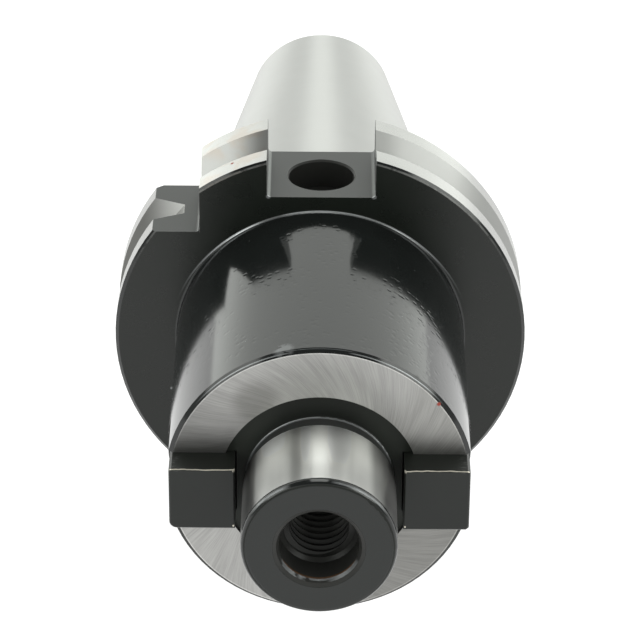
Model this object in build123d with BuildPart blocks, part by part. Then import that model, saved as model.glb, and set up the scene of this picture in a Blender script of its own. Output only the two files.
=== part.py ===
from build123d import *

import os
from math import radians, tan

# Face mill arbor with a size 40 steep taper shank and a 22 mm pilot.
# The gauge plane is Y = 0, the axis runs along Y and the pilot points towards -Y.
# The arbor lies on its flange, so +Z is up and the slot with the chip pocket is on top.
# A station is the distance from the gauge plane towards the pilot.

# Steep taper shank, behind the gauge plane
gauge_diameter = 44.45
taper_per_length = 7 / 24
shank_length = 68.4
shank_end_chamfer = 0.8

# Short land and grinding relief between the gauge plane and the flange
gauge_land = 0.8
gauge_relief_depth = 0.7
gauge_relief_ramp = 0.5

# Flange with its gripper groove
flange_diameter = 63.55
flange_rear_station = 3.2
flange_front_station = 18.6
rim_chamfer = 0.5
rear_rim_chamfer = 0.9
groove_station = 11.1
groove_depth = 3.65
groove_floor_width = 2.86
groove_side_angle = 30.0

# Drive slots through the flange, the upper one shallower than the lower one
slot_width = 16.5
upper_slot_floor = 24.7
lower_slot_floor = 22.8
slot_corner_radius = 0.6

# Orientation notch, an open step in the upper left of the flange
notch_wall = 18.5
notch_floor = 18.65
notch_corner_radius = 0.6

# Pocket for a data chip in the floor of the upper slot
chip_pocket_diameter = 10.0
chip_pocket_depth = 4.6
chip_pocket_chamfer = 0.3

# Neck and the ground contact face at its front
projection = 60.0
neck_diameter = 44.4
neck_root_radius = 0.4
neck_chamfer = 0.6
recess_diameter = 28.7
recess_depth = 0.6

# Pilot with an undercut at its root
pilot_diameter = 22.0
pilot_length = 17.0
pilot_edge_radius = 0.9
undercut_depth = 0.35
undercut_ramp = 0.6
undercut_end = 2.0
undercut_corner_radius = 0.3

# Hole for the cutter screw in the end of the pilot, plain at its mouth and threaded behind
screw_thread_diameter = 10.0
screw_tap_drill = 8.5
screw_thread_depth = 26.0
screw_drill_depth = 30.0
relief_bore_clearance = 0.65
relief_bore_depth = 5.0
mouth_width = 0.9
mouth_flare_width = 0.55
mouth_flare_depth = 0.35
mouth_depth = 1.0

# Hole for the pull stud in the small end of the shank
stud_thread_diameter = 16.0
stud_tap_drill = 13.9
stud_thread_depth = 32.0
stud_drill_depth = 36.0
stud_seat_clearance = 0.5
stud_seat_depth = 7.0
stud_mouth_chamfer = 0.8
drill_point_angle = 59.0

# Drive keys, square blocks let deep into the contact face
key_width = 10.0
key_projection = 4.5
key_seat_depth = 10.0
key_pilot_gap = 1.05
key_rim_inset = 0.75
key_chamfer = 0.2
key_side_chamfer = 0.4
key_end_clearance = 0.15
worn_corner_radius = 1.1

# Cutters run past the metal by this much
overrun = 2.0

# Sizes that follow
gauge_radius = gauge_diameter / 2
gauge_relief_radius = gauge_radius - gauge_relief_depth
shank_end_radius = gauge_radius - shank_length * taper_per_length / 2
shank_chamfer_radius = shank_end_radius + shank_end_chamfer * taper_per_length / 2
flange_radius = flange_diameter / 2
groove_radius = flange_radius - groove_depth
groove_floor_half = groove_floor_width / 2
groove_mouth_half = groove_floor_half + groove_depth * tan(radians(groove_side_angle))
neck_radius = neck_diameter / 2
recess_radius = recess_diameter / 2
recess_station = projection - recess_depth
pilot_radius = pilot_diameter / 2
pilot_end_station = projection + pilot_length
undercut_radius = pilot_radius - undercut_depth
undercut_end_station = projection + undercut_end

screw_radius = screw_thread_diameter / 2
screw_tap_radius = screw_tap_drill / 2
relief_bore_radius = screw_radius + relief_bore_clearance
mouth_radius = relief_bore_radius + mouth_width
mouth_flare_radius = mouth_radius - mouth_flare_width
screw_point_length = screw_tap_radius / tan(radians(drill_point_angle))

stud_radius = stud_thread_diameter / 2
stud_tap_radius = stud_tap_drill / 2
stud_seat_radius = stud_radius + stud_seat_clearance
stud_point_length = stud_tap_radius / tan(radians(drill_point_angle))

key_inner_end = pilot_radius + key_pilot_gap
key_outer_end = neck_radius - key_rim_inset
key_length = key_outer_end - key_inner_end
key_seat_station = projection - key_seat_depth
key_height = key_seat_depth + key_projection

# Section plane through the axis: its first direction is the station, its second the radius
turning_plane = Plane(origin=(0, 0, 0), x_dir=(0, -1, 0), z_dir=(0, 0, 1))

os.makedirs("parts", exist_ok=True)


def corner_at(sketch, station, radius):
    """The corner of a turned outline that lies nearest to a station and a radius."""
    return sketch.vertices().sort_by_distance((station, radius, 0))[0]


# Arbor body: one turned and ground piece, then milled, drilled and tapped
with BuildPart() as arbor_body:
    with BuildSketch(turning_plane) as turned_outline:
        with BuildLine():
            Polyline(
                (-shank_length, 0),
                (-shank_length, shank_end_radius - shank_end_chamfer),
                (-shank_length + shank_end_chamfer, shank_chamfer_radius),
                (0, gauge_radius),
                (gauge_land, gauge_radius),
                (gauge_land + gauge_relief_ramp, gauge_relief_radius),
                (flange_rear_station, gauge_relief_radius),
                (flange_rear_station, flange_radius - rear_rim_chamfer),
                (flange_rear_station + rear_rim_chamfer, flange_radius),
                (groove_station - groove_mouth_half, flange_radius),
                (groove_station - groove_floor_half, groove_radius),
                (groove_station + groove_floor_half, groove_radius),
                (groove_station + groove_mouth_half, flange_radius),
                (flange_front_station - rim_chamfer, flange_radius),
                (flange_front_station, flange_radius - rim_chamfer),
                (flange_front_station, neck_radius),
                (projection - neck_chamfer, neck_radius),
                (projection, neck_radius - neck_chamfer),
                (projection, recess_radius),
                (recess_station, recess_radius),
                (recess_station, undercut_radius),
                (undercut_end_station - undercut_ramp, undercut_radius),
                (undercut_end_station, pilot_radius),
                (pilot_end_station, pilot_radius),
                (pilot_end_station, 0),
                close=True,
            )
        make_face()
        fillet(corner_at(turned_outline, flange_front_station, neck_radius), neck_root_radius)
        fillet(corner_at(turned_outline, recess_station, undercut_radius), undercut_corner_radius)
        fillet(corner_at(turned_outline, pilot_end_station, pilot_radius), pilot_edge_radius)
    revolve(axis=Axis.Y)

    # Drive slots and orientation notch, milled straight through the flange
    with BuildSketch(Plane.XZ.offset(flange_rear_station - gauge_relief_ramp)) as flange_cuts:
        with Locations((0, upper_slot_floor)):
            Rectangle(slot_width, flange_radius, align=(Align.CENTER, Align.MIN))
        with Locations((0, -lower_slot_floor)):
            Rectangle(slot_width, flange_radius, align=(Align.CENTER, Align.MAX))
        slot_corners = flange_cuts.vertices().filter_by(lambda v: abs(v.Y) < flange_radius)
        fillet(slot_corners, slot_corner_radius)
        with Locations((-notch_wall, notch_floor)):
            Rectangle(flange_radius, flange_radius, align=(Align.MAX, Align.MIN))
        notch_corner = flange_cuts.vertices().sort_by_distance((-notch_wall, notch_floor, 0))[0]
        fillet(notch_corner, notch_corner_radius)
    extrude(
        amount=flange_front_station - flange_rear_station + gauge_relief_ramp + overrun,
        mode=Mode.SUBTRACT,
    )

    # Chip pocket, drilled into the floor of the upper slot in line with the gripper groove
    with BuildSketch(Plane.XY.offset(upper_slot_floor)):
        with Locations((0, -groove_station)):
            Circle(chip_pocket_diameter / 2)
    extrude(amount=-chip_pocket_depth, mode=Mode.SUBTRACT)
    pocket_edges = arbor_body.edges(Select.LAST).filter_by(GeomType.CIRCLE)
    chamfer(pocket_edges.sort_by(Axis.Z)[-1], chip_pocket_chamfer)

    # Seats of the two drive keys, open to the outside of the neck
    with BuildSketch(Plane.XZ.offset(key_seat_station)):
        with Locations((key_inner_end - key_end_clearance, 0)):
            Rectangle(neck_radius, key_width, align=(Align.MIN, Align.CENTER))
        mirror(about=Plane.YZ)
    extrude(amount=key_seat_depth + overrun, mode=Mode.SUBTRACT)

    # Screw hole, from its flared mouth back to the drill point
    with BuildSketch(turning_plane):
        with BuildLine():
            Polyline(
                (pilot_end_station, 0),
                (pilot_end_station, mouth_radius),
                (pilot_end_station - mouth_flare_depth, mouth_flare_radius),
                (pilot_end_station - mouth_depth, relief_bore_radius),
                (pilot_end_station - relief_bore_depth, relief_bore_radius),
                (pilot_end_station - relief_bore_depth - relief_bore_clearance, screw_radius),
                (pilot_end_station - screw_thread_depth, screw_radius),
                (pilot_end_station - screw_thread_depth, screw_tap_radius),
                (pilot_end_station - screw_drill_depth, screw_tap_radius),
                (pilot_end_station - screw_drill_depth - screw_point_length, 0),
                close=True,
            )
        make_face()
    revolve(axis=Axis.Y, mode=Mode.SUBTRACT)

    # Pull stud hole, from its chamfered seat forward to the drill point
    with BuildSketch(turning_plane):
        with BuildLine():
            Polyline(
                (-shank_length, 0),
                (-shank_length, stud_seat_radius + stud_mouth_chamfer),
                (-shank_length + stud_mouth_chamfer, stud_seat_radius),
                (-shank_length + stud_seat_depth, stud_seat_radius),
                (-shank_length + stud_seat_depth + stud_seat_clearance, stud_radius),
                (-shank_length + stud_thread_depth, stud_radius),
                (-shank_length + stud_thread_depth, stud_tap_radius),
                (-shank_length + stud_drill_depth, stud_tap_radius),
                (-shank_length + stud_drill_depth + stud_point_length, 0),
                close=True,
            )
        make_face()
    revolve(axis=Axis.Y, mode=Mode.SUBTRACT)

arbor_body.part.label = "arbor_body"
export_step(arbor_body.part, "parts/arbor_body.step")


# Right drive key: a block on the floor of its seat, with its front and outer edges broken
with BuildPart() as drive_key_right:
    with BuildSketch(Plane.XZ.offset(key_seat_station)) as right_block:
        with Locations((key_inner_end, 0)):
            Rectangle(key_length, key_width, align=(Align.MIN, Align.CENTER))
        chamfer(right_block.vertices().group_by(Axis.X)[-1], key_side_chamfer)
    extrude(amount=key_height)
    chamfer(drive_key_right.faces().sort_by(Axis.Y)[0].edges(), key_chamfer)

drive_key_right.part.label = "drive_key_right"
export_step(drive_key_right.part, "parts/drive_key_right.step")


# Left drive key: the same block, with its lower outer corner worn round
with BuildPart() as drive_key_left:
    with BuildSketch(Plane.XZ.offset(key_seat_station)) as left_block:
        with Locations((-key_inner_end, 0)):
            Rectangle(key_length, key_width, align=(Align.MAX, Align.CENTER))
        worn_corner = left_block.vertices().sort_by_distance((-key_outer_end, -key_width / 2, 0))[0]
        fillet(worn_corner, worn_corner_radius)
        upper_corner = left_block.vertices().sort_by_distance((-key_outer_end, key_width / 2, 0))[0]
        chamfer(upper_corner, key_side_chamfer)
    extrude(amount=key_height)
    chamfer(drive_key_left.faces().sort_by(Axis.Y)[0].edges(), key_chamfer)

drive_key_left.part.label = "drive_key_left"
export_step(drive_key_left.part, "parts/drive_key_left.step")
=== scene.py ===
"""Looks of a face mill arbor with a size 40 steep taper, lying with its pilot towards the camera.

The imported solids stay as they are. This script gives them their finishes, adds the two screw
threads that the solids leave plain, and sets the floor, the light and the camera.
Lengths are in metres. The axis of the arbor is Y, its pilot points to -Y and its drive slot to +Z.
A station is the distance in front of the gauge plane, so it is minus Y.
"""

import logging
import math
from dataclasses import dataclass, field
from enum import Enum

import bmesh
import bpy
from mathutils import Matrix, Vector


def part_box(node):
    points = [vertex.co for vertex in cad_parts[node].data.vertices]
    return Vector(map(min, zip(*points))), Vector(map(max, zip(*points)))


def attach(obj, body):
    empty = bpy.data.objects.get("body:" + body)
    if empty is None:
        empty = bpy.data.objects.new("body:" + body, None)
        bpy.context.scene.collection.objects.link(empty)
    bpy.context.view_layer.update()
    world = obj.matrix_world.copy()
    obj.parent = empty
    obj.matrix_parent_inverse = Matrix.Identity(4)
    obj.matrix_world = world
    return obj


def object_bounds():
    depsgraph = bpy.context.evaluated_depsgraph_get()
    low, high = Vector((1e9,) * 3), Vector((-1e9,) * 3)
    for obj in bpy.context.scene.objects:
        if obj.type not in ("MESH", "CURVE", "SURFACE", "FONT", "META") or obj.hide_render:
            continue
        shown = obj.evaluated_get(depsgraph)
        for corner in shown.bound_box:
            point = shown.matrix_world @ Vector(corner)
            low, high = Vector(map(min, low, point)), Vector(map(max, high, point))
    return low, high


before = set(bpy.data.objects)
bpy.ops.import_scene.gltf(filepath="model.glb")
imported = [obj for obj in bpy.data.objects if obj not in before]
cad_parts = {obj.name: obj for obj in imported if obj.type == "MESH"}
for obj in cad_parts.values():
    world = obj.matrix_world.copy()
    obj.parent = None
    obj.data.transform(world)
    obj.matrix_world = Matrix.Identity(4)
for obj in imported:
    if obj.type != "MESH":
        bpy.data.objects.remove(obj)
CAD_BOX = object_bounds()

Socket = bpy.types.NodeSocket
Value = float | Socket
Colour = tuple[float, float, float]
Inputs = dict[int | str, Socket | float | Colour]

MM = 0.001
DEGREE = math.radians(1.0)
# The width of a crisp edge between two finishes, and a distance that lies outside the arbor.
CRISP = 0.06 * MM
BEYOND = 1.0
# Lines for each metre.
FINE_LINES = 9000.0
COARSE_LINES = 7000.0
IMAGE_SIDE = 640
SENSOR_WIDTH = 36.0
LAMP_COLOUR = (0.972, 1.0, 0.958)
log = logging.getLogger("arbor")


class Side(Enum):
    """The two sides that carry a drive key, with the sign of their X."""

    LEFT = -1
    RIGHT = 1


@dataclass(frozen=True)
class Finish:
    """What one kind of surface looks like.

    Attributes:
        colour: Linear base colour.
        metallic: 1 for bare metal, 0 for a coated surface.
        roughness: Mean roughness.
        mottle: How far the colour wanders over a few millimetres, as a share of it.
        rough_spread: How far the roughness wanders with the same pattern.
        pull: How much the reflections are drawn out across the grain, from 0 to 1.
        gloss: Strength of a coated surface's reflection, 0.5 for plain glossy paint.
    """

    colour: Colour
    metallic: float
    roughness: float
    mottle: float = 0.0
    rough_spread: float = 0.0
    pull: float = 0.0
    gloss: float = 0.5


BLACK_OXIDE = Finish((0.0064, 0.0078, 0.0076), 0.0, 0.12, 0.25, 0.02)
SATIN_OXIDE = Finish((0.0038, 0.0058, 0.0038), 0.0, 0.28, 0.15, 0.04, gloss=0.43)
DULL_OXIDE = Finish((0.0088, 0.0102, 0.0084), 0.0, 0.52, 0.15, 0.04, gloss=0.25)
END_OXIDE = Finish((0.0056, 0.0076, 0.0066), 0.0, 0.22, 0.15, 0.04, gloss=0.45)
# Painted light: the undercut's oxide is made lighter than black oxide, standing in for light that it
# catches.
UNDERCUT_PAINTED_LIGHT_OXIDE = Finish((0.0380, 0.0390, 0.0380), 0.0, 0.40, 0.2, 0.04, gloss=0.5)
POCKET_OXIDE = Finish((0.0230, 0.0230, 0.0215), 0.0, 0.40, 0.2, 0.04, gloss=0.3)
GROUND_STEEL = Finish((0.475, 0.475, 0.467), 1.0, 0.36, 0.03, 0.03, 0.8)
PILOT_STEEL = Finish((0.52, 0.518, 0.510), 1.0, 0.31, 0.05, 0.03, 0.85)
FACE_STEEL = Finish((0.363, 0.360, 0.351), 1.0, 0.38, 0.14, 0.04, 0.6)
RIM_STEEL = Finish((0.45, 0.45, 0.44), 1.0, 0.26, 0.05, 0.05, 0.5)
GROOVE_STEEL = Finish((0.53, 0.53, 0.52), 1.0, 0.42, 0.06, 0.03)
MILLED_STEEL = Finish((0.092, 0.094, 0.093), 1.0, 0.50, 0.06, 0.03)
BORE_OXIDE = Finish((0.0260, 0.0260, 0.0245), 0.0, 0.34, 0.2, 0.05, gloss=0.22)
# Painted light: a pale oxide for the deep end of the screw hole, standing in for light that its depth shuts
# out.
DEEP_PAINTED_LIGHT_OXIDE = Finish((0.1500, 0.1500, 0.1430), 0.0, 0.7, 0.1, 0.05, gloss=0.05)
# Edge finishes, each used both for real wear and for painted highlights where an edge, fillet or corner
# would catch the light.
DULL_WORN_AND_HIGHLIT_EDGE = Finish((0.11, 0.11, 0.108), 1.0, 0.42, 0.20, 0.03)
WORN_AND_HIGHLIT_EDGE = Finish((0.36, 0.37, 0.38), 1.0, 0.38, 0.20, 0.03)
CREAM_WORN_AND_GLINT_EDGE = Finish((0.66, 0.62, 0.54), 1.0, 0.45, 0.20, 0.03)
KEY_OXIDE = Finish((0.0052, 0.0070, 0.0056), 0.0, 0.36, 0.2, 0.04, gloss=0.38)
BROWN_RUST = Finish((0.085, 0.048, 0.028), 0.0, 0.6, 0.3, 0.03, gloss=0.2)
RED_MARK = Finish((0.30, 0.055, 0.040), 0.0, 0.6, 0.2, 0.03, gloss=0.2)


@dataclass(frozen=True)
class PaintedLightBand:
    """A stretch of a surface painted lighter or darker than the rest: painted highlight where lighter,
    painted shade where darker.

    Attributes:
        low: Where it starts, along the measure that it follows.
        high: Where it ends, or BEYOND the arbor.
        soft: How wide its edges are.
        factor: What the colour is multiplied by, as a grey or as a colour.
        share: How much of it there is, from 0 to 1.
    """

    low: float
    high: float
    soft: float
    factor: float | Colour
    share: float = 1.0


@dataclass
class NodeSheet:
    """One node tree, with a short call for each kind of node that the finishes use."""

    tree: bpy.types.NodeTree

    def node(self, kind: str, **settings: object) -> bpy.types.Node:
        """Adds a node.

        Args:
            kind: Blender's name of the node type, without the ShaderNode in front.
            settings: Properties to set on it.

        Returns:
            The new node.
        """
        made = self.tree.nodes.new("ShaderNode" + kind)
        for name, value in settings.items():
            setattr(made, name, value)
        return made

    def feed(self, socket: Socket, value: Value | Colour) -> None:
        """Links a socket into another, or sets its plain value.

        Args:
            socket: The input to fill.
            value: A socket, a number or a triple.
        """
        if isinstance(value, bpy.types.NodeSocket):
            self.tree.links.new(value, socket)
        elif socket.type == "RGBA":
            socket.default_value = (*value, 1.0)
        else:
            socket.default_value = value

    def filled(self, made: bpy.types.Node, inputs: Inputs, output: int = 0) -> Socket:
        """Fills a node's inputs.

        Args:
            made: The node.
            inputs: What goes into each input, by its place or its name.
            output: Which output is read.

        Returns:
            That output.
        """
        for key, value in inputs.items():
            self.feed(made.inputs[key], value)
        return made.outputs[output]

    def math(self, operation: str, *values: Value, clamp: bool = False) -> Socket:
        """Adds a Math node.

        Args:
            operation: Its operation, such as ADD.
            values: Its inputs in order.
            clamp: Whether the result is held between 0 and 1.

        Returns:
            Its result.
        """
        made = self.node("Math", operation=operation, use_clamp=clamp)
        return self.filled(made, dict(enumerate(values)))

    def product(self, *values: Value) -> Socket:
        """Multiplies numbers, for masks that must all hold.

        Args:
            values: The numbers.

        Returns:
            Their product.
        """
        total = values[0]
        for value in values[1:]:
            total = self.math("MULTIPLY", total, value)
        return total

    def either(self, first: Value, second: Value) -> Socket:
        """The larger of two masks."""
        return self.math("MAXIMUM", first, second)

    def without(self, mask: Value) -> Socket:
        """What a mask leaves out."""
        return self.math("SUBTRACT", 1.0, mask)

    def unsigned(self, value: Value) -> Socket:
        """A number without its sign."""
        return self.math("ABSOLUTE", value)

    def above(self, value: Value, edge: float, soft: float = CRISP) -> Socket:
        """A mask that is 1 above an edge.

        Args:
            value: What is compared.
            edge: Where the mask is half.
            soft: How wide the change is.

        Returns:
            The mask.
        """
        made = self.node("MapRange", interpolation_type="SMOOTHSTEP")
        limits = {"Value": value, "From Min": edge - soft / 2, "From Max": edge + soft / 2}
        return self.filled(made, limits)

    def below(self, value: Value, edge: float, soft: float = CRISP) -> Socket:
        """A mask that is 1 below an edge."""
        return self.without(self.above(value, edge, soft))

    def between(self, value: Value, low: float, high: float, soft: float = CRISP) -> Socket:
        """A mask that is 1 from low to high."""
        return self.product(self.above(value, low, soft), self.below(value, high, soft))

    def blend(self, mask: Value, under: Value, over: Value) -> Value:
        """Mixes two numbers by a mask.

        Args:
            mask: Where the second number goes.
            under: The first number.
            over: The second number.

        Returns:
            The mix, or the number itself where both are the same.
        """
        if isinstance(under, float) and under == over:
            return under
        return self.filled(self.node("Mix", data_type="FLOAT"), {0: mask, 2: under, 3: over})

    def tint(self, mask: Value, under: Socket | Colour, over: Socket | Colour) -> Socket:
        """Mixes two colours by a mask."""
        return self.filled(self.node("Mix", data_type="RGBA"), {0: mask, 6: under, 7: over}, 2)

    def turn(self, mask: Value, under: Socket | Colour, over: Socket | Colour) -> Socket:
        """Mixes two directions by a mask."""
        return self.filled(self.node("Mix", data_type="VECTOR"), {0: mask, 4: under, 5: over}, 1)

    def scaled(self, colour: Socket | Colour, factor: Value) -> Socket:
        """A colour times a number."""
        return self.filled(self.node("VectorMath", operation="SCALE"), {0: colour, "Scale": factor})

    def joined(self, x: Value, y: Value, z: Value) -> Socket:
        """A vector of three numbers."""
        return self.filled(self.node("CombineXYZ"), {0: x, 1: y, 2: z})

    def parts(self, vector: Socket) -> list[Socket]:
        """The three numbers of a vector.

        Args:
            vector: The vector.

        Returns:
            Its X, its Y and its Z.
        """
        made = self.node("SeparateXYZ")
        self.feed(made.inputs[0], vector)
        return list(made.outputs)

    def noise(self, place: Socket, scale: float, detail: float = 2.0, roughness: float = 0.5) -> Socket:
        """A cloudy pattern from 0 to 1.

        Args:
            place: Where it is read.
            scale: Features for each metre of the place.
            detail: How many finer layers it has.
            roughness: How strong they are.

        Returns:
            The pattern.
        """
        looks = {"Vector": place, "Scale": scale, "Detail": detail, "Roughness": roughness}
        return self.filled(self.node("TexNoise"), looks)

    def dots(self, place: Socket, scale: float, size: float) -> Socket:
        """Small scattered dots.

        Args:
            place: Where they are read.
            scale: Dots for each metre.
            size: Their radius as a share of their spacing.

        Returns:
            1 inside a dot, falling to 0 at its edge.
        """
        distance = self.filled(self.node("TexVoronoi"), {"Vector": place, "Scale": scale})
        return self.below(distance, size, size)


@dataclass
class SurfaceSheet(NodeSheet):
    """A material that is laid over a piece in layers, each with its own mask and finish."""

    name: str = "steel"
    tree: bpy.types.NodeTree = field(init=False)

    def __post_init__(self) -> None:
        """Starts the material and reads the coordinates that every mask is made from."""
        self.material = bpy.data.materials.new(self.name)
        self.material.use_nodes = True
        self.tree = self.material.node_tree
        self.tree.nodes.clear()
        self.place = self.node("TexCoord").outputs["Object"]
        self.x, self.y, self.z = self.parts(self.place)
        self.aside = self.unsigned(self.x)
        self.station = self.product(self.y, -1.0)
        across = self.product(self.x, self.x)
        self.radius = self.math("SQRT", self.math("MULTIPLY_ADD", self.z, self.z, across))
        self.angle = self.math("ARCTAN2", self.z, self.x)
        facing = self.node("NewGeometry").outputs["Normal"]
        self.facing_x, self.facing_y, self.facing_z = self.parts(facing)
        self.end_on = self.above(self.unsigned(self.facing_y), 0.95, soft=0.03)
        self.side_on = self.without(self.end_on)
        self.cloud = self.noise(self.place, scale=260.0, detail=3.0)
        self.colour: Socket | Colour = (0.0, 0.0, 0.0)
        self.metallic: Value = 0.0
        self.roughness: Value = 0.5
        self.pull: Value = 0.0
        self.gloss: Value = 0.5
        self.height: Value = 0.0
        self.tangent: Socket | Colour = (0.0, 1.0, 0.0)

    def swing(self, pattern: Socket, amount: float) -> Socket:
        """A number that wanders around 1, as far as the amount either way."""
        return self.math("MULTIPLY_ADD", pattern, 2.0 * amount, 1.0 - amount)

    def turned_lines(self, scale: float) -> Socket:
        """Fine lines round the axis, as turning and grinding leave them."""
        return self.noise(self.joined(self.radius, self.station, 0.0), scale)

    def ring(self, radius: float, inner: float, outer: float) -> Socket:
        """A mask of a ring round the axis, whose two edges are measured from a radius."""
        return self.between(self.radius, radius + inner, radius + outer)

    def patches(self, scale: float, edge: float, soft: float) -> Socket:
        """A mask of uneven patches.

        Args:
            scale: Features for each metre.
            edge: How few they are, from 0 to 1.
            soft: How wide their edges are.

        Returns:
            The mask.
        """
        return self.above(self.noise(self.place, scale, 3.0), edge, soft)

    def wander(self, finish: Finish, pattern: Socket) -> tuple[Socket, Socket]:
        """A finish's colour and roughness.

        Args:
            finish: The finish.
            pattern: What its colour follows.

        Returns:
            Both, as they change over the surface.
        """
        colour = self.scaled(finish.colour, self.swing(pattern, finish.mottle))
        least = finish.roughness - finish.rough_spread
        return colour, self.math("MULTIPLY_ADD", self.cloud, 2.0 * finish.rough_spread, least)

    def cover(self, finish: Finish) -> None:
        """Gives the whole surface one finish, which others are laid over.

        Args:
            finish: The finish.
        """
        self.colour, self.roughness = self.wander(finish, self.cloud)
        self.metallic = finish.metallic
        self.pull = finish.pull
        self.gloss = finish.gloss

    def lay(
        self, finish: Finish, *masks: Value, pattern: Socket | None = None, strength: float = 1.0
    ) -> None:
        """Lays one finish over what is there.

        Args:
            finish: The finish.
            masks: Where it goes, which is where all of them hold.
            pattern: What its colour follows, or the common cloud.
            strength: How much of it covers what is there, from 0 to 1.
        """
        mask = self.product(*masks, strength)
        colour, roughness = self.wander(finish, pattern or self.cloud)
        self.colour = self.tint(mask, self.colour, colour)
        self.metallic = self.blend(mask, self.metallic, finish.metallic)
        self.roughness = self.blend(mask, self.roughness, roughness)
        self.pull = self.blend(mask, self.pull, finish.pull)
        self.gloss = self.blend(mask, self.gloss, finish.gloss)

    def spot(self, centre: Colour, size: float) -> Socket:
        """A small round patch.

        Args:
            centre: Its middle.
            size: Its radius.

        Returns:
            Its mask.
        """
        made = self.node("VectorMath", operation="DISTANCE")
        self.feed(made.inputs[0], self.place)
        self.feed(made.inputs[1], centre)
        return self.below(made.outputs["Value"], size, soft=size * 0.8)

    def shade(self, factor: float | Colour, *masks: Value) -> None:
        """Multiplies the colour.

        Args:
            factor: What by, as a grey or as a colour.
            masks: Where, as for a finish.
        """
        colour = (factor, factor, factor) if isinstance(factor, float) else factor
        stain = self.node("Mix", data_type="RGBA", blend_type="MULTIPLY")
        self.colour = self.filled(stain, {0: self.product(*masks), 6: self.colour, 7: colour}, 2)

    def paint_light_bands(self, mask: Value, measure: Socket, *streaks: PaintedLightBand) -> None:
        """Lays bands of painted highlight and painted shade.

        Args:
            mask: The surface that they are on.
            measure: What their ends are measured along.
            streaks: The streaks.
        """
        for streak in streaks:
            stretch = self.between(measure, streak.low, streak.high, soft=streak.soft)
            self.shade(streak.factor, mask, stretch, streak.share)

    def raise_by(self, mask: Value, pattern: Socket, depth: float) -> None:
        """Adds a relief to the surface, with a pattern from 0 to 1 and its height in metres."""
        self.height = self.math("ADD", self.height, self.product(mask, pattern, depth))

    def finish_up(self) -> bpy.types.Material:
        """Wires the layers into the shader.

        Returns:
            The finished material.
        """
        shader = self.node("BsdfPrincipled")
        layers = {
            "Base Color": self.colour,
            "Metallic": self.metallic,
            "Roughness": self.roughness,
            "IOR": 1.5,
            "Specular IOR Level": self.gloss,
            "Anisotropic": self.pull,
            "Tangent": self.tangent,
        }
        if isinstance(self.height, bpy.types.NodeSocket):
            layers["Normal"] = self.filled(self.node("Bump"), {"Distance": 1.0, "Height": self.height})
        self.feed(self.node("OutputMaterial").inputs["Surface"], self.filled(shader, layers))
        return self.material


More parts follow.
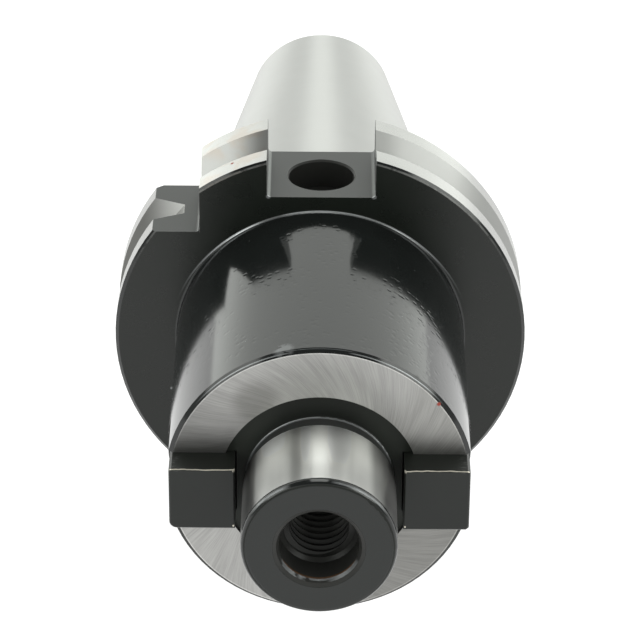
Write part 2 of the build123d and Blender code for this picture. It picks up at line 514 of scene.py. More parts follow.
@dataclass
class ArborBody:
    """The one-piece body: taper shank, flange, neck, contact face and pilot.

    Its solid is kept. These sizes say where one finish ends and the next begins.
    """

    gauge_land: float = 0.8 * MM
    flange_rear: float = 3.2 * MM
    flange_front: float = 18.6 * MM
    flange_radius: float = 31.775 * MM
    groove_floor_radius: float = 28.125 * MM
    groove_station: float = 11.1 * MM
    pocket_radius: float = 5.3 * MM
    rim_chamfer: float = 0.5 * MM
    slot_half_width: float = 8.25 * MM
    slot_floor: float = 22.8 * MM
    upper_slot_floor: float = 24.7 * MM
    neck_radius: float = 22.2 * MM
    neck_chamfer: float = 0.6 * MM
    root_radius: float = 0.4 * MM
    notch_wall: float = 18.5 * MM
    notch_floor: float = 18.65 * MM
    contact_station: float = 60.0 * MM
    contact_inner: float = 14.35 * MM
    contact_outer: float = 21.6 * MM
    pilot_radius: float = 11.0 * MM
    pilot_ground_start: float = 62.0 * MM
    pilot_ground_end: float = 75.8 * MM
    recess_station: float = 59.4 * MM
    undercut_radius: float = 10.65 * MM
    relief_radius: float = 5.65 * MM
    flare_radius: float = 6.0 * MM
    mouth_radius: float = 6.55 * MM
    pilot_end: float = 77.0 * MM
    screw_hole_end: float = 40.0 * MM
    stud_hole_end: float = -20.0 * MM
    stud_hole_radius: float = 8.6 * MM
    seat_radius: float = 9.3 * MM

    def __post_init__(self) -> None:
        """Starts the material, with the masks of the flange and of the contact face."""
        self.sheet = sheet = SurfaceSheet(name="arbor_steel_finish")
        length = sheet.between(sheet.station, self.flange_rear - CRISP, self.flange_front + CRISP)
        self.flange = sheet.product(length, sheet.above(sheet.radius, self.neck_radius + 0.3 * MM))
        ring = sheet.between(sheet.radius, self.contact_inner, self.contact_outer)
        near = sheet.above(sheet.station, self.contact_station - 2.0 * CRISP)
        self.contact = sheet.product(ring, near, sheet.end_on)

    def dress_shank(self) -> None:
        """Lays bare ground steel on the taper and the gauge land."""
        sheet = self.sheet
        length = sheet.below(sheet.station, self.gauge_land)
        outside = sheet.above(sheet.radius, self.seat_radius)
        sheet.lay(GROUND_STEEL, length, outside, sheet.side_on, pattern=sheet.turned_lines(FINE_LINES))

    def dress_flange(self) -> None:
        """Lays satin black on the flange's faces, bare steel on its rim and groove."""
        sheet = self.sheet
        sheet.lay(SATIN_OXIDE, self.flange, sheet.end_on)
        bare = sheet.above(sheet.radius, self.groove_floor_radius - 0.4 * MM)
        rim = sheet.product(self.flange, sheet.side_on, bare)
        sheet.lay(RIM_STEEL, rim, pattern=sheet.turned_lines(COARSE_LINES))
        wall = sheet.product(rim, sheet.below(sheet.facing_y, -0.4, soft=0.2))
        sheet.lay(GROOVE_STEEL, wall)
        # Painted shade on the groove wall: a dark fan beside the slot, and darker beside the notch and far
        # right.
        painted_shade_beside_slot = (
            PaintedLightBand(-11.6 * MM, 0.0, 6.0 * MM, 0.20, share=0.86),
            PaintedLightBand(0.0, 11.0 * MM, 4.0 * MM, 0.20, share=0.30),
        )
        painted_shade_beside_notch = PaintedLightBand(-BEYOND, -25.0 * MM, 6.0 * MM, (0.38, 0.38, 0.37))
        painted_shade_far_right = PaintedLightBand(22.0 * MM, BEYOND, 5.0 * MM, 0.85)
        upper_wall = sheet.product(wall, sheet.above(sheet.z, 20.0 * MM, soft=2.0 * MM))
        sheet.paint_light_bands(upper_wall, sheet.x, *painted_shade_beside_slot)
        sheet.paint_light_bands(wall, sheet.x, painted_shade_beside_notch, painted_shade_far_right)
        # Painted highlight on the rim left of the slot, painted shade on its sides.
        sheet.paint_light_bands(rim, sheet.x, PaintedLightBand(-22.0 * MM, -9.0 * MM, 3.0 * MM, 1.12))
        sheet.paint_light_bands(rim, sheet.aside, PaintedLightBand(23.0 * MM, BEYOND, 6.0 * MM, 0.78))

    def dress_rim_chamfer(self) -> None:
        """Lays a dark chamfer on the rim's front, its inner edge partly worn and partly painted highlight.
        """
        sheet = self.sheet
        front = sheet.above(sheet.station, self.flange_front - self.rim_chamfer)
        outer = sheet.above(sheet.radius, self.flange_radius - self.rim_chamfer - CRISP)
        chamfer = sheet.product(self.flange, front, outer)
        sheet.lay(BLACK_OXIDE, chamfer)
        # Partly wear, partly painted highlight: a light inner edge in patches, towards the top of the rim.
        worn_and_highlit = sheet.ring(self.flange_radius, -0.52 * MM, -0.30 * MM)
        high = sheet.above(sheet.z, 15.0 * MM, soft=12.0 * MM)
        patches = sheet.patches(scale=700.0, edge=0.40, soft=0.25)
        sheet.lay(DULL_WORN_AND_HIGHLIT_EDGE, chamfer, worn_and_highlit, high, patches)

    def dress_slots(self) -> None:
        """Lays milled grey on the drive slots, with lighter walls and a small burr at each front corner."""
        sheet = self.sheet
        beside = sheet.below(sheet.aside, self.slot_half_width + CRISP)
        outside = sheet.above(sheet.unsigned(sheet.z), self.slot_floor - CRISP)
        slots = sheet.product(self.flange, sheet.side_on, beside, outside)
        sheet.lay(MILLED_STEEL, slots)
        walls = sheet.product(slots, sheet.above(sheet.unsigned(sheet.facing_x), 0.14, soft=0.24))
        # Painted highlight: the slot walls are painted lighter, the right wall less so.
        sheet.shade((2.50, 2.52, 2.50), walls)
        sheet.shade(0.64, walls, sheet.above(sheet.x, 0.0, soft=MM))
        for side in Side:
            corner = side.value * (self.slot_half_width - 0.25 * MM)
            burr = sheet.spot((corner, -self.flange_front, self.upper_slot_floor + 0.1 * MM), size=0.32 * MM)
            sheet.lay(WORN_AND_HIGHLIT_EDGE, burr)

    def dress_notch(self) -> None:
        """Lays milled grey on the orientation notch, with a dull line at the front of its wall."""
        sheet = self.sheet
        left = sheet.below(sheet.x, -self.notch_wall + CRISP)
        high = sheet.above(sheet.z, self.notch_floor - CRISP)
        upright = sheet.above(sheet.unsigned(sheet.facing_x), 0.98, soft=0.02)
        level = sheet.above(sheet.unsigned(sheet.facing_z), 0.98, soft=0.02)
        flat = sheet.either(upright, level)
        sheet.lay(MILLED_STEEL, self.flange, sheet.side_on, left, high, flat)
        wall = sheet.between(sheet.x, -self.notch_wall - CRISP, -self.notch_wall + CRISP)
        front = sheet.above(sheet.station, self.flange_front - 0.15 * MM)
        sheet.lay(DULL_WORN_AND_HIGHLIT_EDGE, wall, front, high)

    def dress_neck_root(self) -> None:
        """Paints the highlight line on the fillet round the neck's root, wider and brighter at its two ends.
        """
        sheet = self.sheet
        # Painted highlight: the light line that the root fillet would reflect, uneven, dimmer on the right
        # and with a gap left.
        widening = sheet.math("POWER", sheet.math("DIVIDE", sheet.x, self.neck_radius), 4.0)
        narrowed = sheet.math("SUBTRACT", sheet.radius, sheet.product(widening, 0.75 * MM))
        ring = sheet.between(narrowed, self.neck_radius + 0.01 * MM, self.neck_radius + 0.24 * MM)
        root_end = self.flange_front + self.root_radius
        corner = sheet.between(sheet.station, self.flange_front - CRISP, root_end)
        line = sheet.product(ring, corner, sheet.above(sheet.z, 14.0 * MM, soft=16.0 * MM))
        uneven = sheet.math("MULTIPLY_ADD", sheet.noise(sheet.place, scale=90.0), 1.6, 0.10, clamp=True)
        dim_right = sheet.blend(sheet.above(sheet.x, 4.0 * MM, soft=14.0 * MM), 1.0, 0.65)
        gap = sheet.product(sheet.between(sheet.x, -9.5 * MM, -5.5 * MM, soft=2.0 * MM), 0.55)
        sheet.lay(WORN_AND_HIGHLIT_EDGE, line, uneven, dim_right, sheet.without(gap))
        sheet.paint_light_bands(line, sheet.aside, PaintedLightBand(11.0 * MM, BEYOND, 4.0 * MM, 1.6))

    def dress_neck_front(self) -> None:
        """Dulls the lower half of the neck's front chamfer and paints highlight lines on its upper half."""
        sheet = self.sheet
        start = sheet.above(sheet.station, self.contact_station - self.neck_chamfer)
        chamfer = sheet.product(start, sheet.side_on, sheet.above(sheet.radius, self.contact_outer))
        sheet.lay(DULL_OXIDE, chamfer, sheet.below(sheet.z, 0.0, soft=4.0 * MM))
        # Painted highlight: two light lines where a rounded edge would catch the light, on the shoulders and
        # at the top.
        front = sheet.above(sheet.station, self.contact_station - 0.47 * MM)
        inner = sheet.ring(self.contact_outer, 0.20 * MM, 0.31 * MM)
        shoulders = sheet.product(
            sheet.above(sheet.aside, 4.5 * MM, soft=1.5 * MM),
            sheet.above(sheet.z, 14.5 * MM, soft=4.0 * MM),
        )
        sheet.lay(WORN_AND_HIGHLIT_EDGE, front, inner, shoulders, strength=0.6)
        outer = sheet.ring(self.contact_outer, 0.44 * MM, 0.60 * MM)
        top = sheet.between(sheet.x, -4.5 * MM, 4.5 * MM, soft=2.0 * MM)
        sheet.lay(WORN_AND_HIGHLIT_EDGE, front, outer, top, strength=0.8)

    def dress_neck_skin(self) -> None:
        """Gives the neck its small dents, most of them on its right shoulder, its specks and its nick."""
        sheet = self.sheet
        start = self.flange_front + 1.0 * MM
        neck = sheet.between(sheet.station, start, self.contact_station - self.neck_chamfer)
        skin = sheet.product(neck, sheet.above(sheet.radius, self.neck_radius - 0.1 * MM))
        right = sheet.between(sheet.x, 9.0 * MM, 18.0 * MM, soft=3.0 * MM)
        shoulder = sheet.product(right, sheet.above(sheet.z, 12.0 * MM, soft=MM))
        dented = sheet.either(sheet.above(sheet.noise(sheet.place, scale=160.0), 0.52, soft=0.10), shoulder)
        small_dents = sheet.dots(sheet.place, scale=900.0, size=0.28)
        large_dents = sheet.dots(sheet.place, scale=520.0, size=0.20)
        sheet.raise_by(sheet.product(skin, dented), small_dents, depth=-0.010 * MM)
        sheet.raise_by(sheet.product(skin, shoulder), large_dents, depth=-0.012 * MM)
        sheet.raise_by(skin, sheet.noise(sheet.place, scale=700.0), depth=0.0030 * MM)
        off_top = sheet.above(sheet.aside, 9.0 * MM, soft=3.0 * MM)
        specks = sheet.dots(sheet.place, scale=420.0, size=0.035)
        sheet.lay(WORN_AND_HIGHLIT_EDGE, skin, off_top, specks, strength=0.5)
        bright_dot = sheet.spot((-23.2 * MM, -18.6 * MM, -9.1 * MM), size=0.22 * MM)
        sheet.lay(WORN_AND_HIGHLIT_EDGE, bright_dot, strength=0.5)
        nick = sheet.spot((-5.2 * MM, -59.0 * MM, 21.7 * MM), size=1.3 * MM)
        ragged = sheet.above(sheet.noise(sheet.place, scale=900.0), 0.45, soft=0.15)
        sheet.lay(WORN_AND_HIGHLIT_EDGE, nick, ragged, strength=0.35)

    def dress_contact_face(self) -> None:
        """Lays the ground contact face with its curved grinding marks, its red dot, and painted highlight
        and shade.
        """
        sheet = self.sheet
        spiral = sheet.math("LOGARITHM", sheet.math("DIVIDE", sheet.radius, self.contact_outer), math.e)
        lean = sheet.math("MULTIPLY_ADD", sheet.above(sheet.x, -12.0 * MM, soft=12.0 * MM), 0.35, 0.35)
        bearing = sheet.math("SUBTRACT", sheet.angle, sheet.product(spiral, lean))
        fine_place = sheet.joined(bearing, sheet.product(sheet.radius, 1.6), 0.0)
        fine = sheet.noise(fine_place, scale=110.0, detail=3.0, roughness=0.60)
        broad_place = sheet.joined(bearing, sheet.product(sheet.radius, 8.0), 3.0)
        marks = sheet.above(sheet.blend(0.35, fine, sheet.noise(broad_place, scale=16.0)), 0.50, soft=0.34)
        sheet.lay(FACE_STEEL, self.contact, pattern=marks)
        sheet.raise_by(self.contact, fine, depth=0.0025 * MM)
        # Painted highlight: the face's outer edge is painted lighter.
        rim = sheet.above(sheet.radius, self.contact_outer - 0.16 * MM)
        sheet.shade(1.5, self.contact, rim)
        # Painted shade: a darker patch upper left of the pilot, and darker sectors round the face.
        dull = sheet.spot((-9.0 * MM, -self.contact_station, 13.5 * MM), size=3.2 * MM)
        sheet.shade((0.74, 0.74, 0.73), self.contact, dull)
        sectors = (
            PaintedLightBand(125.0 * DEGREE, math.tau, 20.0 * DEGREE, 0.88),
            PaintedLightBand(144.0 * DEGREE, math.tau, 30.0 * DEGREE, 0.66),
            PaintedLightBand(-75.0 * DEGREE, -12.0 * DEGREE, 20.0 * DEGREE, (0.62, 0.62, 0.61)),
            PaintedLightBand(-5.0 * DEGREE, 48.0 * DEGREE, 16.0 * DEGREE, (0.87, 0.87, 0.86)),
        )
        sheet.paint_light_bands(self.contact, sheet.angle, *sectors)
        red_dot = sheet.spot((16.83 * MM, -self.contact_station, 13.37 * MM), size=0.28 * MM)
        sheet.lay(RED_MARK, red_dot)

    def dress_recess(self) -> None:
        """Lays dull oxide in the recess round the pilot, with painted light on its sides, its undercut and
        its corner.
        """
        sheet = self.sheet
        step = 0.1 * MM
        depth = sheet.between(sheet.station, self.recess_station - step, self.recess_station + step)
        floor = sheet.product(depth, sheet.below(sheet.radius, self.contact_inner - CRISP))
        sheet.lay(DULL_OXIDE, floor)
        # Painted highlight: the recess floor is painted lighter towards its sides.
        sheet.paint_light_bands(floor, sheet.aside, PaintedLightBand(7.0 * MM, BEYOND, 6.0 * MM, 1.9))
        inside = sheet.below(sheet.radius, self.pilot_radius + CRISP)
        length = sheet.between(sheet.station, self.recess_station + step, self.pilot_ground_start)
        sheet.lay(UNDERCUT_PAINTED_LIGHT_OXIDE, inside, length)
        # Painted highlight: a light ring at the undercut's corner.
        ring = sheet.ring(self.undercut_radius, -CRISP, 0.14 * MM)
        corner = sheet.between(sheet.station, self.recess_station, self.recess_station + 0.34 * MM)
        sheet.lay(WORN_AND_HIGHLIT_EDGE, ring, corner, strength=0.75)

    def dress_pilot(self) -> None:
        """Lays bare ground steel on the pilot, painted lighter at its root and with painted reflection bands
        along it.
        """
        sheet = self.sheet
        length = sheet.between(sheet.station, self.pilot_ground_start, self.pilot_ground_end)
        outside = sheet.above(sheet.radius, self.pilot_radius - 2.0 * CRISP)
        skin = sheet.product(length, outside, sheet.side_on)
        sheet.lay(PILOT_STEEL, skin, pattern=sheet.turned_lines(FINE_LINES))
        # Painted highlight: lighter towards the root, and more so on the left of it.
        root = sheet.below(sheet.station, 70.5 * MM, soft=9.0 * MM)
        sheet.shade((1.85, 1.85, 1.83), skin, root)
        innermost = sheet.product(skin, sheet.below(sheet.station, 65.0 * MM, soft=4.0 * MM))
        sheet.paint_light_bands(innermost, sheet.x, PaintedLightBand(-8.2 * MM, -5.4 * MM, 1.6 * MM, 1.6))
        # Painted reflections: lighter and darker bands along the pilot, where the lamps and the gaps between
        # them would show.
        front_reflection_bands = (
            PaintedLightBand(-7.2 * MM, -5.2 * MM, 1.0 * MM, 0.90),
            PaintedLightBand(-1.5 * MM, 1.2 * MM, 1.0 * MM, 0.90),
            PaintedLightBand(5.2 * MM, 7.2 * MM, 1.0 * MM, 0.90),
        )
        sheet.paint_light_bands(sheet.product(skin, sheet.without(root)), sheet.x, *front_reflection_bands)
        reflection_bands = (
            PaintedLightBand(-BEYOND, -8.8 * MM, 4.0 * MM, 0.25),
            PaintedLightBand(-10.35 * MM, -9.1 * MM, 0.6 * MM, 0.50),
            PaintedLightBand(-4.0 * MM, -2.9 * MM, 0.9 * MM, 0.50, share=0.5),
            PaintedLightBand(-2.5 * MM, -1.5 * MM, 0.8 * MM, 1.50),
            PaintedLightBand(1.5 * MM, 4.0 * MM, 1.4 * MM, 1.50),
            PaintedLightBand(7.3 * MM, 9.8 * MM, 1.4 * MM, 0.50),
            PaintedLightBand(9.2 * MM, BEYOND, 4.0 * MM, 0.25),
        )
        sheet.paint_light_bands(skin, sheet.x, *reflection_bands)

    def dress_pilot_end(self) -> None:
        """Lays oxide on the pilot's end, with a dull rounded edge that carries a painted highlight at two
        places.
        """
        sheet = self.sheet
        rounded = sheet.product(sheet.above(sheet.station, self.pilot_ground_end), sheet.side_on)
        inner = sheet.below(sheet.radius, self.pilot_radius - 0.4 * MM)
        sheet.lay(DULL_OXIDE, rounded, inner)
        # Painted highlight: light streaks on the upper side of the rounded edge, left and right.
        edge_highlight = sheet.ring(self.pilot_radius, -0.20 * MM, -0.05 * MM)
        left = sheet.between(sheet.x, -8.8 * MM, -4.6 * MM, soft=1.6 * MM)
        right = sheet.between(sheet.x, 2.2 * MM, 8.8 * MM, soft=1.6 * MM)
        upper = sheet.above(sheet.z, 0.0, soft=MM)
        sheet.lay(WORN_AND_HIGHLIT_EDGE, rounded, edge_highlight, sheet.either(left, right), upper, strength=0.7)
        end = sheet.above(sheet.station, self.pilot_end - CRISP)
        sheet.lay(END_OXIDE, end, sheet.end_on)

    def dress_holes(self) -> None:
        """Lays dull oxide in the screw hole, the pull stud hole and the chip pocket."""
        sheet = self.sheet
        within_mouth = sheet.below(sheet.radius, self.mouth_radius - CRISP)
        front = sheet.product(within_mouth, sheet.above(sheet.station, self.screw_hole_end))
        within_seat = sheet.below(sheet.radius, self.stud_hole_radius)
        rear = sheet.product(within_seat, sheet.below(sheet.station, self.stud_hole_end))
        sheet.lay(BORE_OXIDE, sheet.either(front, rear))
        # Painted light: the oxide turns paler deep in the screw hole.
        deep = sheet.between(sheet.station, self.screw_hole_end, self.pilot_end - 10.0 * MM, soft=5.0 * MM)
        sheet.lay(DEEP_PAINTED_LIGHT_OXIDE, front, deep)
        ahead = sheet.math("SUBTRACT", sheet.station, self.groove_station)
        across = sheet.product(sheet.x, sheet.x)
        from_middle = sheet.math("SQRT", sheet.math("MULTIPLY_ADD", ahead, ahead, across))
        pocket = sheet.product(
            sheet.below(from_middle, self.pocket_radius),
            sheet.above(sheet.z, 15.0 * MM),
            sheet.below(sheet.z, self.upper_slot_floor - CRISP / 2, soft=CRISP / 2),
        )
        sheet.lay(POCKET_OXIDE, pocket)

    def dress_mouth(self) -> None:
        """Brightens the mouth's lower lip, partly as wear and partly as painted highlight, with a brown edge
        inside it.
        """
        sheet = self.sheet
        # Partly wear, partly painted highlight: bright patches on the lower lip only.
        mouth = sheet.above(sheet.station, self.pilot_end - 1.3 * MM)
        low = sheet.product(mouth, sheet.below(sheet.z, -2.8 * MM, soft=1.6 * MM))
        lip = sheet.between(sheet.radius, self.relief_radius + 0.02 * MM, self.flare_radius - 0.04 * MM)
        ends = sheet.above(sheet.aside, 1.8 * MM, soft=1.6 * MM)
        thin = sheet.below(sheet.radius, self.relief_radius + 0.16 * MM)
        patches = sheet.patches(scale=420.0, edge=0.44, soft=0.12)
        sheet.lay(WORN_AND_HIGHLIT_EDGE, low, lip, patches, sheet.either(ends, thin))
        inner = sheet.ring(self.relief_radius, -0.06 * MM, 0.03 * MM)
        sheet.lay(BROWN_RUST, low, inner)

    def dress_stains(self) -> None:
        """Adds the faint beige stains and the small red spot on the rim, left of the drive slot."""
        sheet = self.sheet
        left = sheet.between(sheet.x, -19.0 * MM, -9.0 * MM, soft=3.0 * MM)
        high = sheet.above(sheet.z, 26.0 * MM, soft=2.0 * MM)
        patches = sheet.patches(scale=300.0, edge=0.50, soft=0.20)
        sheet.shade((1.0, 0.93, 0.88), left, high, patches, self.flange)
        sheet.lay(RED_MARK, sheet.spot((-13.53 * MM, -15.45 * MM, 28.75 * MM), size=0.24 * MM))

    def draw_grain(self) -> None:
        """Turns the grain round the axis on the contact face, and along it elsewhere."""
        sheet = self.sheet
        along = (0.0, 1.0, 0.0)
        around = sheet.node("VectorMath", operation="CROSS_PRODUCT")
        outward = sheet.joined(sheet.x, 0.0, sheet.z)
        sheet.tangent = sheet.turn(self.contact, along, sheet.filled(around, {0: outward, 1: along}))

    def dress(self) -> None:
        """Lays a finish on each machined surface and puts the material on the CAD node."""
        self.sheet.cover(BLACK_OXIDE)
        self.dress_shank()
        self.dress_flange()
        self.dress_rim_chamfer()
        self.dress_slots()
        self.dress_notch()
        self.dress_neck_root()
        self.dress_neck_front()
        self.dress_neck_skin()
        self.dress_contact_face()
        self.dress_recess()
        self.dress_pilot()
        self.dress_pilot_end()
        self.dress_holes()
        self.dress_mouth()
        self.dress_stains()
        self.draw_grain()
        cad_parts["arbor_body"].material_slots[0].material = self.sheet.finish_up()
        log.info("dressed arbor_body")


@dataclass
class DriveKey:
    """One of the two square keys let into the contact face."""

    side: Side
    edge: float = 0.05 * MM

    def __post_init__(self) -> None:
        """Starts the key's material and reads its box."""
        self.name = "drive_key_" + self.side.name.lower()
        self.sheet = SurfaceSheet(name=self.name + "_finish")
        self.low, self.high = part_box(self.name)

    def worn_and_highlit_line(self) -> Socket:
        """The uneven bright line where the key's top meets its front, partly wear and partly painted
        highlight.

        Returns:
            Its mask.
        """
        sheet = self.sheet
        below_top = sheet.math("SUBTRACT", self.high[2], sheet.z)
        behind_front = sheet.math("ADD", sheet.y, -self.low[1])
        pattern = sheet.noise(sheet.place, scale=500.0, detail=3.0)
        uneven = sheet.math("MULTIPLY_ADD", pattern, 0.5 * MM, -0.25 * MM)
        offset = sheet.math("ADD", sheet.math("SUBTRACT", below_top, behind_front), uneven)
        strip = sheet.below(sheet.unsigned(offset), 0.11 * MM, soft=self.edge)
        corner = sheet.below(sheet.math("ADD", below_top, behind_front), 0.50 * MM, soft=0.2 * MM)
        return sheet.product(strip, corner)

    def corner_glints(self) -> Socket:
        """The painted glints on the inner corners of the key's front.

        Returns:
            Their mask.
        """
        inner = self.low[0] if self.side is Side.RIGHT else self.high[0]
        lower_place = (inner + self.side.value * 0.2 * MM, self.low[1], self.low[2] + 0.5 * MM)
        lower = self.sheet.spot(lower_place, size=0.15 * MM)
        upper = self.sheet.spot((inner, self.low[1], self.high[2] - 0.2 * MM), size=0.28 * MM)
        return self.sheet.either(lower, upper)

    def outer_rubs(self) -> Socket:
        """The light rubs on the key's top, near its outer end.

        Returns:
            Their mask.
        """
        sheet = self.sheet
        outer = self.low[0] if self.side is Side.LEFT else self.high[0]
        near = sheet.below(sheet.unsigned(sheet.math("SUBTRACT", sheet.x, outer)), 1.6 * MM, soft=1.2 * MM)
        top = sheet.above(sheet.z, self.high[2] - 0.4 * MM, soft=self.edge)
        across = sheet.joined(sheet.x, sheet.product(sheet.y, 4.0), 0.0)
        streaks = sheet.noise(across, scale=900.0, detail=3.0)
        return sheet.product(near, top, sheet.above(streaks, 0.58, soft=0.10))

    def dress(self) -> None:
        """Lays black oxide, rubbed bright and with painted highlights along the front edges, and puts it on
        the CAD node.
        """
        sheet = self.sheet
        sheet.cover(KEY_OXIDE)
        sheet.lay(DULL_OXIDE, sheet.above(sheet.facing_z, 0.9, soft=0.1))
        sheet.lay(DULL_WORN_AND_HIGHLIT_EDGE, self.outer_rubs(), strength=0.35)
        # Wear and painted highlight: the light line along the front's top edge and the glints at its inner
        # corners.
        sheet.lay(CREAM_WORN_AND_GLINT_EDGE, sheet.either(self.worn_and_highlit_line(), self.corner_glints()))
        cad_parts[self.name].material_slots[0].material = sheet.finish_up()
        log.info("dressed %s", self.name)


@dataclass
class ScrewThread:
    """The ridges of an internal screw thread, standing on the plain wall of its hole.

    Attributes:
        name: The piece's name.
        wall_radius: Radius of the hole's wall, which is the thread's major radius.
        crest_radius: Radius at the ridges' crests.
        pitch: Distance from one turn to the next.
        start: Station of the end that is nearer to the pull stud.
        end: Station of the end that is nearer to the pilot.
        bury: How far the ridges reach into the wall.
        steps_per_turn: Faces round one turn.
    """

    name: str
    wall_radius: float
    crest_radius: float
    pitch: float
    start: float
    end: float
    bury: float = 0.05 * MM
    steps_per_turn: int = 72

    def outline(self) -> tuple[tuple[float, float], ...]:
        """The ridge's section: radius, and distance along the axis from its middle.

        Returns:
            Its corners in order.
        """
        root_half = self.pitch * 7 / 16
        crest_half = self.pitch / 8
        return (
            (self.wall_radius + self.bury, -root_half),
            (self.wall_radius + self.bury, root_half),
            (self.wall_radius, root_half),
            (self.crest_radius, crest_half),
            (self.crest_radius, -crest_half),
            (self.wall_radius, -root_half),
        )

    def wind(self, shape: bmesh.types.BMesh) -> None:
        """Winds the ridge, one turn longer than the thread at each end.

        Args:
            shape: The mesh that it is made in.
        """
        first = -self.end - self.pitch
        corners = [shape.verts.new((radius, first + along, 0.0)) for radius, along in self.outline()]
        edges = [shape.edges.new(pair) for pair in zip(corners, corners[1:] + corners[:1])]
        turns = (self.end - self.start) / self.pitch + 2.0
        steps = round(turns * self.steps_per_turn)
        bmesh.ops.spin(
            shape,
            geom=corners + edges,
            cent=(0.0, 0.0, 0.0),
            axis=(0.0, 1.0, 0.0),
            dvec=(0.0, self.pitch / self.steps_per_turn, 0.0),
            angle=steps * math.tau / self.steps_per_turn,
            steps=steps,
            use_merge=False,
            use_normal_flip=False,
            use_duplicate=False,
        )

    def cut(self, shape: bmesh.types.BMesh, station: float, outward: float) -> None:
        """Cuts one end of the ridge flat.

        Args:
            shape: The mesh.
            station: Where it is cut.
            outward: Sign of the Y that is cut away.
        """
        everything = shape.verts[:] + shape.edges[:] + shape.faces[:]
        made = bmesh.ops.bisect_plane(
            shape,
            geom=everything,
            dist=1e-7,
            plane_co=(0.0, -station, 0.0),
            plane_no=(0.0, outward, 0.0),
            clear_outer=True,
        )
        rims = [item for item in made["geom_cut"] if isinstance(item, bmesh.types.BMEdge)]
        bmesh.ops.holes_fill(shape, edges=rims, sides=0)

    def material(self) -> bpy.types.Material:
        """Makes the thread's material, painted paler and less mirrored deep in the screw hole and darker
        down its middle.

        Returns:
            The material.
        """
        sheet = SurfaceSheet(name=self.name + "_finish")
        sheet.cover(BORE_OXIDE)
        if self.end > 0.0:
            # Painted light: paler deep in the hole; painted shade: darker crests down its middle.
            sheet.lay(DEEP_PAINTED_LIGHT_OXIDE, sheet.below(sheet.station, self.end - 4.5 * MM, soft=5.0 * MM))
            sheet.shade(0.45, sheet.below(sheet.aside, 2.5 * MM, soft=2.6 * MM))
        return sheet.finish_up()

    def build(self) -> None:
        """Makes the ridge as one piece that rides with the arbor."""
        shape = bmesh.new()
        self.wind(shape)
        self.cut(shape, self.end, -1.0)
        self.cut(shape, self.start, 1.0)
        bmesh.ops.recalc_face_normals(shape, faces=shape.faces)
        mesh = bpy.data.meshes.new(self.name)
        shape.to_mesh(mesh)
        shape.free()
        piece = bpy.data.objects.new(self.name, mesh)
        bpy.context.scene.collection.objects.link(piece)
        piece.data.materials.append(self.material())
        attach(piece, "root")
        log.info("built %s with %d faces", self.name, len(mesh.polygons))


@dataclass(frozen=True)
class Softbox:
    """A soft lamp that faces the arbor.

    Attributes:
        name: The lamp's name.
        place: Its middle.
        width: Its size across.
        height: Its size the other way.
        brightness: How bright it looks, where 1 is white.
    """

    name: str
    place: Colour
    width: float
    height: float
    brightness: float

    def build(self) -> None:
        """Hangs the lamp and turns it towards the arbor."""
        data = bpy.data.lights.new(self.name, "AREA")
        data.shape = "RECTANGLE"
        data.size = self.width
        data.size_y = self.height
        data.color = LAMP_COLOUR
        data.energy = self.brightness * math.pi * self.width * self.height
        lamp = bpy.data.objects.new(self.name, data)
        bpy.context.scene.collection.objects.link(lamp)
        place = Vector(self.place)
        lamp.matrix_world = Matrix.LocRotScale(place, place.to_track_quat("Z", "Y"), None)


THREADS = (
    ScrewThread("cutter_screw_thread_ridges", 5.0 * MM, 4.25 * MM, 1.5 * MM, 51.0 * MM, 71.55 * MM),
    ScrewThread("pull_stud_thread_ridges", 8.0 * MM, 6.95 * MM, 2.0 * MM, -60.9 * MM, -36.4 * MM),
)
SOFTBOXES = (
    Softbox("strip_overhead", (0.0, 0.30, 1.00), 0.36, 1.10, 3.2),
    Softbox("box_left", (-0.88, -0.52, 0.62), 0.60, 0.60, 2.3),
    Softbox("box_right", (0.88, -0.52, 0.62), 0.60, 0.60, 3.4),
)


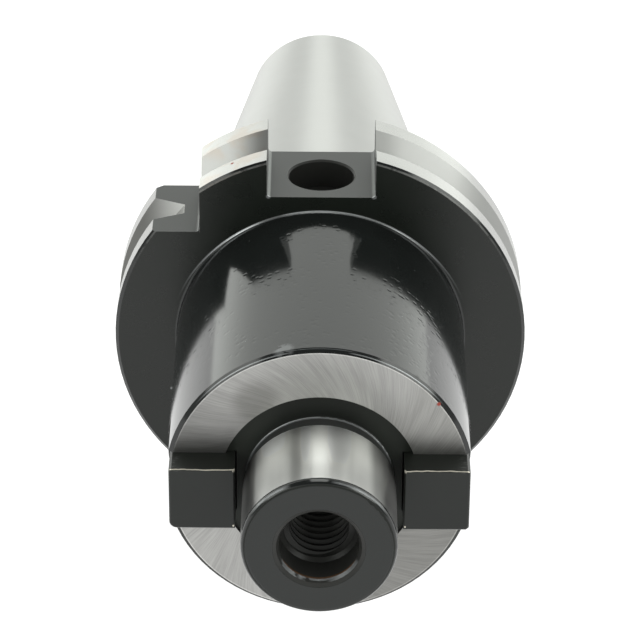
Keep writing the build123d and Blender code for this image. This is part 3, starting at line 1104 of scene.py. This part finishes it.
@dataclass
class Studio:
    """Floor, light and camera.

    The walls of the tent around the arbor each have their own brightness, where 1 is white.
    """

    floor_radius: float = 3.0
    floor_grey: float = 0.35
    floor_glow: float = 0.92
    front_wall: float = 0.50
    glow_behind_camera: float = 1.10
    rear_wall: float = 1.50
    rear_left: float = 2.42
    rear_right: float = 2.10
    ceiling: float = 0.20
    camera_target: Vector = Vector((0.0, -0.020, 0.0))
    camera_distance: float = 0.48287
    camera_height_angle: float = math.radians(30.10)
    camera_turn: float = -0.0015
    camera_roll: float = 0.0081
    focal_pixels: float = 3119.0
    shift_right_pixels: float = -0.12
    shift_up_pixels: float = 23.35

    def build_floor(self) -> None:
        """Lays a white floor under the two edges that the arbor lies on."""
        shape = bmesh.new()
        lowest = Matrix.Translation((0.0, 0.0, CAD_BOX[0].z))
        bmesh.ops.create_circle(shape, cap_ends=True, segments=96, radius=self.floor_radius, matrix=lowest)
        mesh = bpy.data.meshes.new("floor")
        shape.to_mesh(mesh)
        shape.free()
        floor = bpy.data.objects.new("floor", mesh)
        bpy.context.scene.collection.objects.link(floor)
        material = bpy.data.materials.new("floor_white")
        material.use_nodes = True
        shader = material.node_tree.nodes["Principled BSDF"]
        shader.inputs["Base Color"].default_value = (self.floor_grey, self.floor_grey, self.floor_grey, 1.0)
        shader.inputs["Roughness"].default_value = 1.0
        shader.inputs["Specular IOR Level"].default_value = 0.0
        shader.inputs["Emission Color"].default_value = (1.0, 1.0, 1.0, 1.0)
        shader.inputs["Emission Strength"].default_value = self.floor_glow
        mesh.materials.append(material)

    def build_tent(self) -> None:
        """Surrounds the arbor with a tent: bright behind, dim in front, dark overhead."""
        world = bpy.data.worlds.new("tent")
        bpy.context.scene.world = world
        world.use_nodes = True
        sheet = NodeSheet(world.node_tree)
        x, y, z = sheet.parts(sheet.node("TexCoord").outputs["Generated"])
        aside = sheet.unsigned(x)
        eye_level = sheet.between(z, 0.25, 0.75, soft=0.20)
        behind_camera = sheet.product(sheet.below(y, -0.45, soft=0.30), eye_level)
        front = sheet.blend(behind_camera, self.front_wall, self.glow_behind_camera)
        low_sides = sheet.product(sheet.above(aside, 0.36, soft=0.30), sheet.below(z, 0.16, soft=0.40))
        rear_sides = sheet.blend(sheet.above(x, 0.0, soft=0.30), self.rear_left, self.rear_right)
        rear = sheet.blend(low_sides, self.rear_wall, rear_sides)
        walls = sheet.blend(sheet.above(y, 0.20, soft=0.70), front, rear)
        lean = sheet.math("DIVIDE", aside, sheet.math("MAXIMUM", z, 0.05))
        overhead = sheet.product(sheet.below(lean, 0.85, soft=0.20), sheet.above(z, 0.64, soft=0.16))
        background = world.node_tree.nodes["Background"]
        sheet.feed(background.inputs["Strength"], sheet.blend(overhead, walls, self.ceiling))
        sheet.feed(background.inputs["Color"], LAMP_COLOUR)

    def place_camera(self) -> None:
        """Puts the camera where the photograph's camera stood."""
        level = math.cos(self.camera_height_angle)
        towards = Vector((
            math.sin(self.camera_turn) * level,
            -math.cos(self.camera_turn) * level,
            math.sin(self.camera_height_angle),
        ))
        right = towards.cross(Vector((0.0, 0.0, -1.0))).normalized()
        up = towards.cross(right)
        rolled_right = right * math.cos(self.camera_roll) + up * math.sin(self.camera_roll)
        rolled_up = up * math.cos(self.camera_roll) - right * math.sin(self.camera_roll)
        aim = Matrix((rolled_right, rolled_up, towards)).transposed().to_quaternion()
        data = bpy.data.cameras.new("camera")
        data.sensor_width = SENSOR_WIDTH
        data.lens = self.focal_pixels / IMAGE_SIDE * SENSOR_WIDTH
        data.shift_x = self.shift_right_pixels / IMAGE_SIDE
        data.shift_y = self.shift_up_pixels / IMAGE_SIDE
        data.clip_start = 0.01
        data.clip_end = 20.0
        camera = bpy.data.objects.new("camera", data)
        bpy.context.scene.collection.objects.link(camera)
        place = self.camera_target + towards * self.camera_distance
        camera.matrix_world = Matrix.LocRotScale(place, aim, None)
        bpy.context.scene.camera = camera

    def build(self) -> None:
        """Sets the whole studio."""
        self.build_floor()
        self.build_tent()
        for softbox in SOFTBOXES:
            softbox.build()
        self.place_camera()
        bpy.context.scene.view_settings.view_transform = "Standard"
        log.info("set the floor, the light and the camera")


def main() -> None:
    """Builds the pieces in order."""
    logging.basicConfig(level=logging.INFO, format="%(name)s: %(message)s")
    ArborBody().dress()
    for side in Side:
        DriveKey(side).dress()
    for thread in THREADS:
        thread.build()
    Studio().build()


if __name__ == "__main__":
    main()
